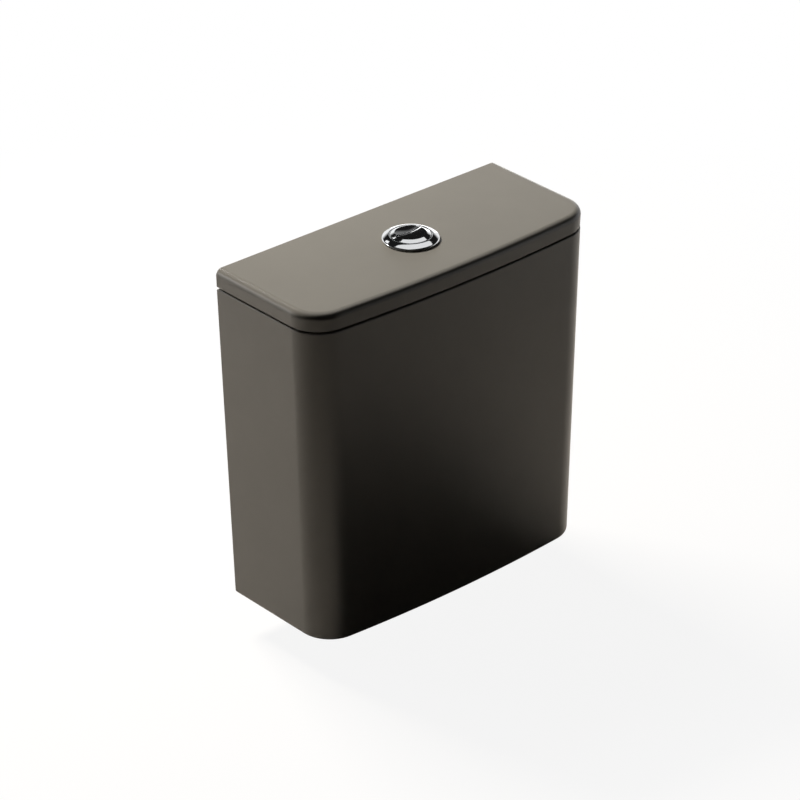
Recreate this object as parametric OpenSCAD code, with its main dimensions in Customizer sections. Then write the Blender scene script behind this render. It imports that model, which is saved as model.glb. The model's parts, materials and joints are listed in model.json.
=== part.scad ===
// Close coupled toilet cistern: ceramic tank and lid, dual flush button, flush valve, fill valve and
// fixing kit. Millimetres, +Z up, front towards -Y. The origin is on the outlet's axis, in the plane of
// the tank's foot, where the tank stands on the pan.

/* [Tank] */
// Width over the lid
tank_w = 372; // [350:1:420]
// Depth over the lid, from the flat back to the middle of the bowed front
tank_d = 154; // [150:1:180]
// Height of the body from its foot to its rim
body_h = 350; // [340:1:400]
// How far the front bows out between its corners
front_bow = 8.6; // [5:0.2:14]
// Radius of the upright front corners
corner_r = 36; // [30:1:50]
// How far each side leans in from the rim to the foot
side_lean = 10; // [0:0.5:12]
// How far the back leans forward from the rim to the foot
back_lean = 5; // [0:0.5:6]
// Thickness of the walls
wall_t = 10; // [8:0.5:12]
// Thickness of the floor
floor_t = 13; // [11:0.5:16]
// Height of the skirt, from the foot to the underside of the floor
skirt_h = 27; // [26:0.5:32]
// Thickness of the skirt at the foot
skirt_t = 12; // [10:0.5:14]
// Rounding of the foot's outer edge
foot_round = 4; // [2:0.5:5]
// Rounding of the rim's outer edge
rim_round = 1.5; // [1:0.5:3]
// Rounding between the floor and the walls inside
cavity_round = 8; // [4:1:14]

/* [Lid] */
// Height of the lid's edge
lid_h = 19.5; // [18:0.5:26]
// Rounding of the lid's top edge at the sides and the front
lid_round = 7.5; // [6:0.5:11]
// Rounding of the lid's lower edge
lid_edge_round = 1; // [0.5:0.5:3]
// Thickness of the lid's plate
lid_plate_t = 11; // [9:0.5:13]
// Width of the lid's edge, seen from below
lid_edge_w = 16; // [14:0.5:20]
// How far the lid stands out over the body's rim
lid_overhang = 0.5; // [0.2:0.1:1.5]
// Gap of the seam between the rim and the lid, which the buffers fill
seam_gap = 1.8; // [1:0.1:3]
// Thickness of the locating ribs under the lid
rib_t = 6; // [5:0.5:9]
// How far the locating ribs reach below the rim
rib_drop = 9; // [6:0.5:14]
// Length of each locating rib
rib_l = 60; // [40:1:64]
// Gap between the locating ribs and the walls
rib_clear = 2; // [1:0.5:3]
// Distance of the front locating ribs from the middle
front_rib_x = 100; // [80:1:104]
// Length of each buffer on the rim
pad_l = 24; // [16:1:30]
// Width of each buffer on the rim
pad_w = 5; // [3:0.5:5.5]
// Distance of the buffers from the middle, front and back
pad_y = 32; // [20:1:33]

/* [Flush button] */
// Diameter of the bezel
bezel_d = 58; // [56:0.5:66]
// Height of the bezel's crest over the lid
bezel_h = 5.6; // [5:0.1:8]
// Width of the bezel's dome, from its rim to its crest
dome_w = 6; // [4:0.5:6]
// Wall of the bezel
bezel_t = 1.6; // [1.2:0.1:2]
// Height of the upright foot of the bezel
bezel_foot_h = 1; // [0.5:0.1:2]
// Rounding of the bezel's inner edge
bezel_lip = 1; // [0.5:0.1:1.2]
// Diameter of the pair of buttons
button_d = 41; // [38:0.5:42]
// Height of the buttons over the lid
button_rise = 7.6; // [7:0.1:9]
// Width of the bright slope around the buttons
button_slope_w = 4; // [2:0.5:5]
// Fall of the bright slope around the buttons
button_slope_h = 2.2; // [1.5:0.1:3]
// Height of the buttons' skirts
button_skirt_h = 9; // [8.5:0.5:11]
// Wall of the buttons
button_t = 2; // [1.5:0.1:2.5]
// Rounding of the buttons' edges
button_edge = 0.4; // [0.2:0.1:0.8]
// Gap between the buttons and the bezel
button_gap = 0.6; // [0.4:0.1:1]
// Width of the line that splits the buttons
split_w = 0.8; // [0.5:0.1:1.2]
// Radius of the curved line that splits the buttons
split_r = 44; // [30:1:80]
// Where the splitting line crosses the middle, towards the back
split_y = 1.3; // [0.5:0.1:2]
// Distance of the push rods from the middle, front and back
rod_y = 10; // [9:0.5:11]
// Diameter of the push rods
rod_d = 6; // [5:0.5:6.5]
// Diameter of the bosses that hold the push rods
boss_d = 11; // [10.5:0.5:12]
// Depth of the bosses' lower ends under the lid's top
boss_drop = 7; // [5:0.5:9]
// Length of rod held in each boss
rod_grip = 8; // [6:0.5:8.5]
// Diameter of the rods' feet
rod_foot_d = 9; // [8:0.5:10]
// Height of the rods' feet
rod_foot_h = 3; // [2:0.5:5]
// Length of the button's sleeve below the lid's top
sleeve_l = 33; // [31:0.5:36]
// Wall of the button's sleeve
sleeve_t = 1.8; // [1.5:0.1:2.2]
// Thickness of the sleeve's collar on the lid
sleeve_flange_t = 2; // [1.5:0.1:2.5]
// Thickness of the plate that guides the rods
guide_t = 3; // [2:0.5:5]
// Outer diameter of the nut under the lid
button_nut_d = 62; // [60:1:70]
// Height of the nut under the lid
button_nut_h = 8; // [6:0.5:10]
// Thickness of the washer under the lid
button_washer_t = 2; // [1:0.5:3]
// Width of the grip notches in the round nuts
nut_notch_w = 8; // [6:0.5:10]
// Depth of the grip notches in the round nuts
nut_notch_d = 4; // [3:0.5:5]
// Height of the round nuts' rims over their notches
nut_rim_h = 3; // [2:0.5:4]
// Turns of each return spring
spring_turns = 8; // [6:1:9]
// Wire of the return springs
spring_wire_d = 1; // [0.8:0.1:1.2]
// Mean diameter of the return springs
spring_d = 9; // [8.6:0.1:9.4]

/* [Flush valve] */
// Diameter of the outlet's thread
tail_d = 59.6; // [56:0.1:62]
// Diameter of the plain spigot at the outlet's end
spigot_d = 56; // [53:0.5:56]
// Bore of the outlet
outlet_bore_d = 48; // [44:0.5:50]
// How far the spigot ends below the foot
spigot_drop = 21; // [18:0.5:24]
// How far the pan gasket reaches below the foot
pan_gasket_drop = 9; // [6:0.5:10]
// Outer diameter of the pan gasket
pan_gasket_d = 110; // [100:1:116]
// How much the pan gasket narrows towards its lower end, on each side
pan_gasket_taper = 7; // [3:0.5:10]
// Rounding of the pan gasket's edges
pan_gasket_round = 4; // [2:0.5:6]
// Wall of the outlet's back nut, from the thread to its rim
backnut_wall = 10.2; // [8.2:0.1:12.2]
// Height of the outlet's back nut
backnut_h = 14; // [10:0.5:16]
// Diameter of the flange of the valve base
base_d = 86; // [84:1:92]
// How far the flange of the valve base stands out around its basket
base_lip = 1; // [0.5:0.5:3]
// Thickness of the flange of the valve base
base_flange_t = 5; // [4:0.5:7]
// Thickness of the gasket under the valve base
base_gasket_t = 3; // [2:0.5:5]
// Height of the valve seat over the flange
seat_h = 5; // [4:0.5:7]
// Width of the valve seat's ring
seat_w = 5; // [4:0.5:6]
// Height of the basket around the seat
basket_h = 44; // [43:1:56]
// Wall of the basket
basket_t = 4; // [3:0.5:5]
// Number of windows in the basket
window_count = 6; // [4:1:8]
// Width of each window in the basket
window_w = 24; // [18:1:26]
// Thickness of the bars above and below the basket's windows
window_bar_t = 5; // [4:0.5:7]
// Height of the cage's ring on the basket
cage_ring_h = 7; // [5:0.5:10]
// Half of the space between the cage's columns
cage_half = 28; // [28:0.5:30]
// Thickness of the cage's columns
column_t = 5; // [4:0.5:6]
// Width of the cage's columns
column_w = 18; // [14:1:22]
// Depth of the overflow tube's lip below the tank's rim
lip_drop = 82; // [78:1:95]
// Diameter of the overflow tube
tube_d = 32; // [30:0.5:32.5]
// Wall of the overflow tube
tube_t = 2.5; // [2:0.1:3]
// Thickness of the flush seal
seal_t = 3; // [2:0.5:5]
// How far the flush seal overlaps the seat's bore
seal_lap = 5; // [4:0.5:6]
// Thickness of the tube's disc over the seal
disc_t = 4; // [3:0.5:6]
// How far the flush seal stands out around the tube's disc
disc_step = 2; // [1:0.5:3]
// Height of the clip ring that holds the seal
retainer_h = 4; // [3:0.5:6]
// Width of the clip ring that holds the seal
retainer_w = 5; // [3:0.5:5]

/* [Flush linkage] */
// Distance of the rockers' pivots from the middle
pivot_y = 27; // [27:0.5:29]
// From a rocker's pivot to its pressed end
press_arm = 14; // [12:0.5:15]
// From a rocker's pivot to its lifting end
lift_arm = 24; // [21:0.5:24]
// Swing of a rocker to either side of level
swing = 15; // [12:0.5:16]
// Depth of the pivots under the tube's lip
pivot_drop = 6; // [5.5:0.5:8]
// Diameter of the rocker pins
pin_d = 3; // [2.5:0.5:4]
// Diameter of the rockers' hubs
hub_d = 8; // [7:0.5:9]
// Thickness of the rockers' bars
bar_t = 3; // [2.5:0.5:3.5]
// Radius of the rockers' noses
nose_r = 2.5; // [2.3:0.1:3]
// Width of a rocker's lifting prongs
prong_w = 5; // [4:0.5:5]
// From a rocker's prongs to the ends of its hub
prong_edge = 1.5; // [1:0.1:2]
// Width of a rocker's pressed end
press_w = 14; // [10:0.5:16]
// Thickness of the lifting collar and of the tube's lug
collar_t = 4; // [3:0.5:5]
// Wall of the lifting collar around the tube
collar_wall = 3; // [2:0.5:3]
// How far the lifting lugs reach towards the front and the back
lug_l = 7; // [7:0.5:8]
// Half of the gap between the collar's lugs and the tube's lugs
lug_gap = 0.8; // [0.5:0.1:1]
// End play of the rockers' hubs in the head
hub_play = 1; // [0.5:0.1:1]
// Room between the plungers, pressed, and the tube's lip, raised by both rockers
plunger_clear = 3; // [2:0.5:6]
// Width of the plungers' blades
blade_w = 12; // [8:0.5:14]
// Thickness of the plungers' blades
blade_t = 6; // [4:0.5:7]
// How far the plungers' top plates stand out around the blades and the rods' feet
plate_margin = 1; // [0.5:0.1:1.5]
// Thickness of the plungers' top plates
plunger_plate_t = 4; // [3:0.5:6]
// Depth of the valve head below the pivots
head_below = 12; // [9:0.5:16]
// Height of the valve head over the pivots
head_above = 28; // [26:0.5:30]
// Height of the plungers' guides
guide_h = 10; // [6:0.5:12]
// Wall of the plungers' guides
guide_wall = 3; // [2.5:0.5:4]

/* [Half flush float] */
// Height over the floor of the stops that the float rests on
stop_h = 90; // [70:1:110]
// Height of each stop
stop_t = 10; // [8:0.5:14]
// Wall of each stop around its column
stop_wall = 3; // [2:0.5:4]
// Height of the half flush float
half_float_h = 40; // [30:1:50]
// Outer diameter of the half flush float
half_float_d = 72; // [66:1:76]
// Wall of the floats
float_t = 2; // [1.5:0.1:3]

/* [Fill valve] */
// Distance of the fill valve from the left side of the lid
inlet_side = 61; // [58:1:68]
// Distance of the fill valve behind the middle
inlet_y = 8; // [0:1:14]
// Diameter of the inlet's thread
inlet_d = 20.955; // [18:0.005:21]
// Bore of the inlet
inlet_bore_d = 12; // [10:0.5:13]
// How far the inlet's thread reaches below the foot
inlet_drop = 18; // [14:0.5:20]
// Depth of the plain neck over the inlet's thread
neck_relief = 0.3; // [0.2:0.1:0.5]
// Length of the filter in the inlet
filter_l = 22; // [16:0.5:26]
// Wall of the filter in the inlet
filter_t = 1; // [0.8:0.1:1.5]
// Width of the filter's slots
filter_slot_w = 1.5; // [1:0.1:2]
// Height of the filter's plain foot
filter_foot_h = 7; // [4:0.5:9]
// Hexagon of the inlet's back nut, across its flats
inlet_nut_af = 32; // [30:1:36]
// Height of the inlet's back nut
inlet_nut_h = 9; // [7:0.5:12]
// Thickness of the inlet's seal
inlet_seal_t = 4; // [3:0.5:6]
// Diameter of the inlet's flange and seal
inlet_flange_d = 38; // [34:0.5:40]
// Thickness of the inlet's flange
inlet_flange_t = 5; // [4:0.5:7]
// Diameter of the shank's tube inside the tank
shank_d = 22; // [20:0.5:22]
// Length of the shank's tube over its flange
shank_l = 82; // [74:1:90]
// Wall of the riser
riser_t = 2.8; // [2:0.1:3]
// Length of riser over the shank's tube
riser_lap = 26; // [20:1:40]
// Height of the collar that locks the riser
height_collar_h = 14; // [10:1:18]
// Wall of the collar that locks the riser
height_collar_t = 4; // [3:0.5:6]
// Radius of the finger grips in the collar that locks the riser
collar_grip_r = 3; // [2:0.5:4]
// Depth of the fill valve's head below the tank's rim
fill_drop = 110; // [104:1:120]
// Diameter of the fill valve's head
head_d = 38; // [36:0.5:40]
// Height of the fill valve's head
fill_head_h = 28; // [24:0.5:32]
// Depth of the riser's socket in the head
socket_h = 8; // [6:0.5:10]
// Wall of the fill valve's head around the diaphragm
head_t = 2.5; // [2:0.5:4]
// Wall of the head's outlet spout
spout_t = 2; // [1.5:0.1:2.5]
// Diameter of the head's outlet spout
spout_d = 11; // [10:0.5:12]
// Length of the head's outlet spout
spout_l = 28; // [22:1:30]
// Thickness of the diaphragm
diaphragm_t = 2.6; // [2:0.1:3]
// Height of the cap
cap_h = 12; // [10:0.5:14]
// How far the cap stands out around the head
cap_lip = 1.5; // [1:0.1:2]
// Number of grips around the cap
cap_grips = 6; // [4:1:8]
// Radius of the grips around the cap
cap_grip_r = 2; // [1.5:0.1:3]
// Thickness of the cap's ears, which hold the lever's pin
ear_t = 3; // [2.5:0.5:4]
// Diameter of the float cup
float_d = 64; // [60:0.5:66]
// Height of the float cup
float_h = 47; // [40:1:50]
// Gap between the float cup, raised, and the head
float_top_clear = 12; // [10:0.5:16]
// Distance of the adjuster rod from the fill valve's axis
adjuster_x = 26; // [25:0.5:27]
// Diameter of the adjuster rod
adjuster_d = 4; // [3:0.5:4.5]
// Diameter of the adjuster nuts
adjuster_nut_d = 9; // [8:0.5:10]
// Height of the adjuster nuts
adjuster_nut_h = 4; // [3:0.5:6]
// Depth of the adjuster rod in the float cup
adjuster_grip = 6; // [4:0.5:8]
// Wall of the float cup's boss around the adjuster rod
float_boss_t = 2.5; // [2:0.5:3]
// Length of adjuster rod over the upper nut
adjuster_end = 6; // [3:0.5:8]
// Distance of the lever's pin behind the fill valve's axis
lever_back = 8; // [7:0.5:9]
// Swing of the lever to either side of level
lever_swing = 12; // [10:0.5:12.5]
// Thickness of the lever
lever_t = 4; // [3:0.5:4.5]
// Width of the lever
lever_w = 11; // [10:0.5:12]
// Diameter of the lever's hub
lever_hub_d = 9; // [8:0.5:10]
// Play of the adjuster rod along the lever's slot
fork_play = 1.5; // [1.3:0.1:2]
// Play of the adjuster rod across the lever's slot
fork_clear = 0.8; // [0.5:0.1:1]
// Thickness of the lever's end past its slot
fork_t = 3; // [2:0.5:4]
// Diameter of the lever's pilot pin
pilot_d = 4; // [3:0.5:5]
// From the lever's pin to its pilot pin, which closes the valve from above
pilot_x = 7; // [6.5:0.5:8]
// Diameter of the lever's pin
lever_pin_d = 3; // [2.5:0.5:3.5]
// Height of the lever's pin over the cap
lever_rise = 13; // [13:0.5:16]

/* [Fixing kit] */
// Distance between the coupling bolts
bolt_spacing = 150; // [144:1:156]
// Diameter of the coupling bolts
bolt_d = 8; // [6:0.5:9]
// How far the coupling bolts reach below the foot
bolt_drop = 38; // [30:1:40]
// Depth of the plain shank over the bolts' thread
bolt_relief = 0.2; // [0.2:0.05:0.4]
// Hexagon of the bolts' heads and nuts, across the flats
bolt_af = 13; // [12:0.5:15]
// Height of the bolts' heads
bolt_head_h = 5.5; // [4:0.5:7]
// Height of the clamp nuts
bolt_nut_h = 6.5; // [5:0.5:8]
// Diameter of the plate washers
plate_washer_d = 22; // [18:0.5:24]
// Thickness of the plate washers
plate_washer_t = 1.6; // [1:0.1:2.5]
// Diameter of the rubber cone washers
cone_washer_d = 28; // [24:0.5:30]
// Thickness of the rubber cone washers over the floor
cone_washer_t = 6; // [4:0.5:8]
// Length of the rubber cones in the floor's holes
cone_nose_l = 6; // [4:0.5:8]

/* [Fits] */
// Gap between parts that push each other
contact_gap = 0.3; // [0.2:0.1:0.4]
// Radial clearance of pins and rods in their bores
pin_clear = 0.05; // [0.02:0.01:0.1]
// Radial clearance of threads and of parts that are fitted by hand
thread_clear = 0.15; // [0.1:0.05:0.3]
// Radial clearance of parts that slide on each other
slide_clear = 0.3; // [0.2:0.05:0.4]
// Radial clearance of the holes in the tank's floor
hole_clear = 1.5; // [1:0.1:2]
// Radial clearance of the hole in the lid around the button's sleeve
lid_hole_clear = 0.8; // [0.5:0.1:1.2]
// Radial gap between a float and the tube it slides on
float_clear = 1.2; // [0.8:0.1:1.5]

/* [Hidden] */
$fn = 48;
// Overlap of cuts past the faces that they open
cut = 1;
// Overlap of shapes that join in one piece
bond = 0.5;
// Facets of a front corner, of the bow, of a rounded edge and of the lid's round
corner_steps = 12;
bow_steps = 16;
edge_steps = 3;
lid_steps = 6;
// Facets of the bezel's dome
dome_steps = 8;
// Rings and sides of a spring's turn
turn_rings = 8;
wire_sides = 6;

// Finishes
clay = [0.42, 0.40, 0.38];
chrome = [0.82, 0.83, 0.85];
white_plastic = [0.90, 0.90, 0.88];
grey_plastic = [0.55, 0.57, 0.60];
blue_plastic = [0.25, 0.45, 0.70];
black_rubber = [0.12, 0.12, 0.12];
red_rubber = [0.62, 0.22, 0.16];
steel = [0.70, 0.71, 0.72];
brass = [0.78, 0.64, 0.32];

// Heights of the tank and lid
floor_z = skirt_h + floor_t;
lid_z = body_h + seam_gap;
lid_top = lid_z + lid_h;
lid_under = lid_top - lid_plate_t;
half_w = tank_w / 2;
half_d = tank_d / 2;

// Flush button
sleeve_ri = button_d / 2 + button_gap;
sleeve_ro = sleeve_ri + sleeve_t;
sleeve_bottom = lid_top - sleeve_l;
boss_bottom = lid_top - boss_drop;
button_bottom = lid_top + button_rise - button_skirt_h;
split_c = split_y + split_r;
rod_r = rod_d / 2;
spring_low = sleeve_bottom + guide_t + contact_gap;
spring_high = boss_bottom - contact_gap;

// Flush linkage
press_travel = 2 * press_arm * sin(swing);
lift_travel = 2 * lift_arm * sin(swing);
lip_z = body_h - lip_drop;
pivot_z = lip_z - pivot_drop;
hub_half = cage_half - hub_play;
prong_x = hub_half - prong_edge - prong_w / 2;
lug_x = prong_x + prong_w / 2 + prong_edge / 2;
collar_z = pivot_z - lift_arm * sin(swing) + nose_r + contact_gap;
flange_z = collar_z + collar_t + contact_gap;
blade_y = pivot_y + press_arm * (1 + cos(swing)) / 2;
blade_foot = pivot_z + press_arm * sin(swing) + nose_r + contact_gap;
plunger_z = lip_z + 2 * lift_travel + press_travel + plunger_clear;
plunger_top = plunger_z + plunger_plate_t;
rod_bottom = plunger_top + contact_gap;
head_low = pivot_z - head_below;
head_high = pivot_z + head_above;
head_y = blade_y + blade_t / 2 + slide_clear + guide_wall;

// Flush valve
tail_r = tail_d / 2;
backnut_d = tail_d + 2 * backnut_wall;
tube_r = tube_d / 2;
basket_r = base_d / 2 - base_lip;
flange_low = floor_z + base_gasket_t;
flange_top = flange_low + base_flange_t;
seat_top = flange_top + seat_h;
basket_top = flange_top + basket_h;
seal_z = seat_top + contact_gap;
disc_z = seal_z + seal_t;
seal_r = outlet_bore_d / 2 + seal_lap;
tail_end = -pan_gasket_drop - contact_gap;
float_rest_z = floor_z + stop_h + stop_t + contact_gap;

// Fill valve
inlet_x = half_w - inlet_side;
inlet_r = inlet_d / 2;
shank_r = shank_d / 2;
inlet_nut_low = skirt_h - inlet_nut_h;
inlet_flange_z = floor_z + inlet_seal_t;
shank_base = inlet_flange_z + inlet_flange_t;
shank_top = shank_base + shank_l;
riser_ri = shank_r + thread_clear;
riser_ro = riser_ri + riser_t;
riser_low = shank_top - riser_lap;
head_z = body_h - fill_drop;
riser_top = head_z + socket_h;
cap_z = head_z + fill_head_h;
cap_top = cap_z + cap_h;
cap_r = head_d / 2 + cap_lip;
lever_z = cap_top + lever_rise;
lever_arm = lever_back + adjuster_x;
float_travel = 2 * lever_arm * sin(lever_swing);
float_top = head_z - float_top_clear - float_travel;
float_low = float_top - float_h;
float_ri = riser_ro + float_clear;
fork_z = lever_z - lever_arm * sin(lever_swing);
pilot_l = (lever_rise - contact_gap - (pilot_x + pilot_d / 2) * sin(lever_swing)) / cos(lever_swing);
nut_r = adjuster_nut_d / 2;
nut_play = nut_r * tan(lever_swing) + lever_t / 2 / cos(lever_swing) + contact_gap;
upper_nut_z = fork_z + nut_play;
lower_nut_z = fork_z - nut_play - adjuster_nut_h;
adjuster_top = upper_nut_z + adjuster_nut_h + adjuster_end;
adjuster_low = float_top - adjuster_grip;

// Points of the tank's plan, counterclockwise from its back right corner: flat back, straight sides,
// round front corners and a bowed front, all drawn in by inset and the back by back_inset
function bow_r(w) = (w * w + front_bow * front_bow) / (2 * front_bow);
function bow_c(w) = bow_r(w) - half_d;
function corner_y(w) = bow_c(w) - sqrt(pow(bow_r(w) - corner_r, 2) - pow(w - corner_r, 2));
function corner_turn(w) = atan2(bow_c(w) - corner_y(w), w - corner_r);
function front_at(x, inset) = bow_c(half_w) - sqrt(pow(bow_r(half_w) - inset, 2) - x * x);
function arc(x, y, r, from, to, steps) =
    [for (i = [0:steps]) let (a = from + (to - from) * i / steps) [x + r * cos(a), y + r * sin(a)]];
function inner(list) = [for (i = [1:len(list) - 2]) list[i]];
function plan(w, back, inset, back_inset) =
    let (
        x = w - corner_r,
        y = corner_y(w),
        turn = corner_turn(w),
        r = corner_r - inset
    )
    concat(
        [[w - inset, back - back_inset], [inset - w, back - back_inset]],
        arc(-x, y, r, 180, 180 + turn, corner_steps),
        inner(arc(0, bow_c(w), bow_r(w) - inset, 180 + turn, 360 - turn, bow_steps)),
        arc(x, y, r, 360 - turn, 360, corner_steps)
    );
function at_height(points, z) = [for (p = points) [p.x, p.y, z]];

// One ring of the body, whose sides and back lean in towards the foot
function lean(z) = 1 - z / body_h;
function body_ring(z, inset) =
    at_height(plan(half_w - side_lean * lean(z), half_d - back_lean * lean(z), inset, inset), z);
function lid_ring(z, inset, back_inset) = at_height(plan(half_w, half_d, inset, back_inset), z);

// A closed solid over rings of equally many points, from the lowest up
module loft(rings) {
    n = len(rings[0]);
    last = (len(rings) - 1) * n;
    sides = [
        for (i = [0:len(rings) - 2], j = [0:n - 1])
            let (k = (j + 1) % n) [i * n + j, (i + 1) * n + j, (i + 1) * n + k, i * n + k]
    ];
    bottom = [for (j = [0:n - 1]) j];
    top = [for (j = [n - 1:-1:0]) last + j];
    polyhedron(points = [for (ring = rings, p = ring) p], faces = concat(sides, [bottom, top]));
}

module tube(ri, ro, low, high) {
    translate([0, 0, low]) difference() {
        cylinder(r = ro, h = high - low);
        translate([0, 0, -cut]) cylinder(r = ri, h = high - low + 2 * cut);
    }
}

module rod(r, low, high) {
    translate([0, 0, low]) cylinder(r = r, h = high - low);
}

module box(low, high) {
    translate(low) cube(high - low);
}

module bar_x(r, w) {
    rotate([0, 90, 0]) cylinder(r = r, h = w, center = true);
}

module bar_y(r, w) {
    rotate([90, 0, 0]) cylinder(r = r, h = w, center = true);
}

module hexagon(af, low, high) {
    translate([0, 0, low]) cylinder(d = af / cos(30), h = high - low, $fn = 6);
}

// A pair of shapes, left and right or front and back of the valve's axis
module both_x() {
    children();
    mirror([1, 0, 0]) children();
}

module both_y() {
    children();
    mirror([0, 1, 0]) children();
}

module at_bolts() {
    for (x = [-bolt_spacing / 2, bolt_spacing / 2]) translate([x, 0, 0]) children();
}

module at_inlet() {
    translate([-inlet_x, inlet_y, 0]) children();
}

// The half flush side of the linkage is the full flush side turned about the valve's axis
module turned() {
    rotate([0, 0, 180]) children();
}

module tank_body() {
    outer = concat(
        [for (i = [0:edge_steps]) let (a = 90 * i / edge_steps)
            body_ring(foot_round * (1 - cos(a)), lid_overhang + foot_round * (1 - sin(a)))],
        [for (i = [0:edge_steps]) let (a = 90 * i / edge_steps)
            body_ring(body_h - rim_round * (1 - sin(a)), lid_overhang + rim_round * (1 - cos(a)))]
    );
    cavity = concat(
        [for (i = [0:edge_steps]) let (a = 90 * i / edge_steps) body_ring(
            floor_z + cavity_round * (1 - cos(a)),
            lid_overhang + wall_t + cavity_round * (1 - sin(a))
        )],
        [body_ring(body_h + cut, lid_overhang + wall_t)]
    );
    skirt = [
        body_ring(-cut, lid_overhang + skirt_t),
        body_ring(skirt_h, lid_overhang + skirt_t)
    ];
    color(clay) difference() {
        loft(outer);
        loft(cavity);
        loft(skirt);
        rod(tail_r + hole_clear, skirt_h - cut, floor_z + cut);
        at_bolts() rod(bolt_d / 2 + hole_clear, skirt_h - cut, floor_z + cut);
        at_inlet() rod(inlet_r + hole_clear, skirt_h - cut, floor_z + cut);
    }
}

module tank_lid() {
    outer = concat(
        [for (i = [0:edge_steps]) let (a = 90 * i / edge_steps)
            lid_ring(lid_z + lid_edge_round * (1 - cos(a)), lid_edge_round * (1 - sin(a)), 0)],
        [for (i = [0:lid_steps]) let (a = 90 * i / lid_steps)
            lid_ring(lid_top - lid_round * (1 - sin(a)), lid_round * (1 - cos(a)), 0)]
    );
    pocket = [
        lid_ring(lid_z - cut, lid_edge_w, lid_edge_w),
        lid_ring(lid_under, lid_edge_w, lid_edge_w)
    ];
    rib_low = body_h - rib_drop;
    rib_high = lid_under + bond;
    side_x = half_w - lid_overhang - wall_t - rib_clear;
    front_x = front_rib_x + rib_l / 2;
    front_y = front_at(front_x, lid_overhang + wall_t + rib_clear);
    color(clay) difference() {
        union() {
            difference() {
                loft(outer);
                loft(pocket);
            }
            both_x() {
                box([side_x - rib_t, -rib_l / 2, rib_low], [side_x, rib_l / 2, rib_high]);
                box(
                    [front_x - rib_l, front_y, rib_low],
                    [front_x, front_y + rib_t, rib_high]
                );
            }
        }
        rod(sleeve_ro + lid_hole_clear, lid_under - cut, lid_top + cut);
    }
}

module lid_buffers() {
    flat_w = wall_t - rim_round;
    pad_x = half_w - lid_overhang - wall_t + flat_w / 2;
    color(black_rubber)
        for (x = [-pad_x, pad_x], y = [-pad_y, pad_y])
            translate([x, y, 0])
                box([-pad_w / 2, -pad_l / 2, body_h], [pad_w / 2, pad_l / 2, lid_z]);
}

module button_bezel() {
    rim = bezel_d / 2;
    crest = rim - dome_w;
    rise = bezel_h - bezel_foot_h;
    lip = bezel_lip;
    outside = [for (i = [0:dome_steps]) let (a = 90 * i / dome_steps)
        [crest + dome_w * cos(a), bezel_foot_h + rise * sin(a)]];
    inside = [for (i = [dome_steps:-1:0]) let (a = 90 * i / dome_steps)
        [crest + (dome_w - bezel_t) * cos(a), bezel_foot_h + (rise - bezel_t) * sin(a)]];
    color(chrome) translate([0, 0, lid_top]) rotate_extrude() polygon(concat(
        [[rim, 0]],
        outside,
        [[sleeve_ri + lip, bezel_h - lip / 2], [sleeve_ri, bezel_h - lip]],
        [[sleeve_ri, sleeve_flange_t], [crest - lip / 2, sleeve_flange_t]],
        [[crest - lip / 2, bezel_h - bezel_t]],
        inside,
        [[rim - bezel_t, 0]]
    ));
}

module button_sleeve() {
    flange_r = bezel_d / 2 - bezel_t - thread_clear;
    color(white_plastic) difference() {
        union() {
            tube(sleeve_ri, sleeve_ro, sleeve_bottom, lid_top + bond);
            tube(sleeve_ri, flange_r, lid_top, lid_top + sleeve_flange_t);
            rod(sleeve_ro, sleeve_bottom, sleeve_bottom + guide_t);
        }
        for (y = [-rod_y, rod_y])
            translate([0, y, 0])
                rod(rod_r + pin_clear, sleeve_bottom - cut, sleeve_bottom + guide_t + cut);
    }
}

module button_washer() {
    color(black_rubber)
        tube(sleeve_ro + slide_clear, button_nut_d / 2, lid_under - button_washer_t, lid_under);
}

module button_nut() {
    nut_top = lid_under - button_washer_t;
    nut_low = nut_top - button_nut_h;
    color(grey_plastic) difference() {
        tube(sleeve_ro + thread_clear, button_nut_d / 2, nut_low, nut_top);
        for (a = [0:45:315])
            rotate([0, 0, a]) translate([button_nut_d / 2, 0, 0])
                rod(nut_notch_w / 2, nut_low - cut, nut_top - nut_rim_h);
    }
}

// The pair of buttons in one: a flat top, a bright slope round it, and a skirt
module button_pair() {
    r = button_d / 2;
    top = lid_top + button_rise;
    edge = button_edge;
    rotate_extrude() polygon([
        [0, button_bottom],
        [r, button_bottom],
        [r, top - button_slope_h - edge],
        [r - edge, top - button_slope_h],
        [r - button_slope_w, top - edge / 4],
        [r - button_slope_w - edge, top],
        [0, top]
    ]);
}

// The side of the splitting line that the half flush button takes, drawn in by inset
module behind_split(inset) {
    translate([0, split_c, 0])
        rod(split_r - split_w / 2 - inset, button_bottom - cut, lid_top + button_rise + cut);
}

module ahead_of_split(inset) {
    difference() {
        rod(button_d, button_bottom - cut, lid_top + button_rise + cut);
        translate([0, split_c, 0])
            rod(split_r + split_w / 2 + inset, button_bottom - 2 * cut, lid_top + button_rise + 2 * cut);
    }
}

module button_core() {
    rod(button_d / 2 - button_t, button_bottom - cut, lid_top + button_rise - button_slope_h - button_t);
}

module rod_boss(y) {
    translate([0, y, 0])
        rod(boss_d / 2, boss_bottom, lid_top + button_rise - button_slope_h - button_t + bond);
}

module rod_socket(y) {
    translate([0, y, 0]) rod(rod_r + pin_clear, boss_bottom - cut, boss_bottom + rod_grip + contact_gap);
}

module full_flush_button() {
    color(chrome) difference() {
        union() {
            difference() {
                intersection() {
                    button_pair();
                    ahead_of_split(0);
                }
                intersection() {
                    button_core();
                    ahead_of_split(button_t);
                }
            }
            rod_boss(-rod_y);
        }
        rod_socket(-rod_y);
    }
}

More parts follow.
